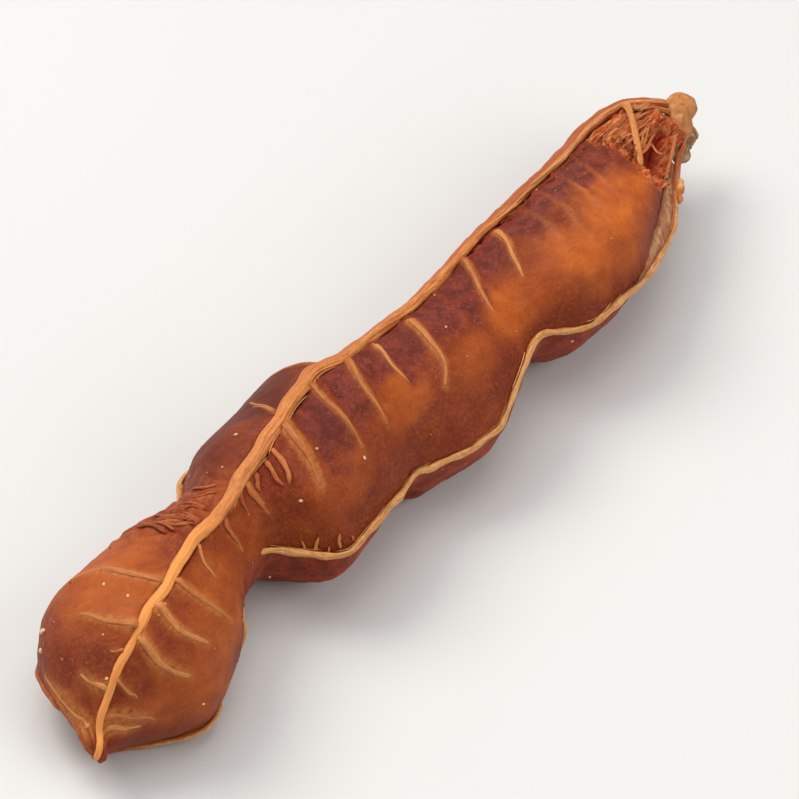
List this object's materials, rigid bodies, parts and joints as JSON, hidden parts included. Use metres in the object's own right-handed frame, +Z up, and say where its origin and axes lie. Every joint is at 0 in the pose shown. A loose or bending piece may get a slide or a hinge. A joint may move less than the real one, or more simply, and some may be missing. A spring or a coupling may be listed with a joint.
{
  "type": "tamarind pod",
  "caption": "Peeled tamarind pod lying on its flank: bulging lobes of sticky pulp with a beak at one end, fibrous strands along its edges and a short broken stalk.",
  "frame": {"origin": "on the surface that the pod lies on, under the middle of its bounding box", "axes": "+X from the beak to the stalk, along the pod; +Z up; +Y towards the pod's far flank"},
  "size_m": [0.1136, 0.026, 0.0179],
  "materials": {
    "pulp": "sticky, semi-gloss, slightly translucent",
    "strand_fibre": "dry fibre, satin",
    "margin_fibre": "dry fibre, satin",
    "stalk_wood": "rough bark, matt"
  },
  "bodies": {
    "root": {"pulp": "pulp", "main_strand": "strand_fibre", "margin_strand_near": "margin_fibre", "margin_strand_far": "margin_fibre", "stalk": "stalk_wood"}
  },
  "joints": []
}
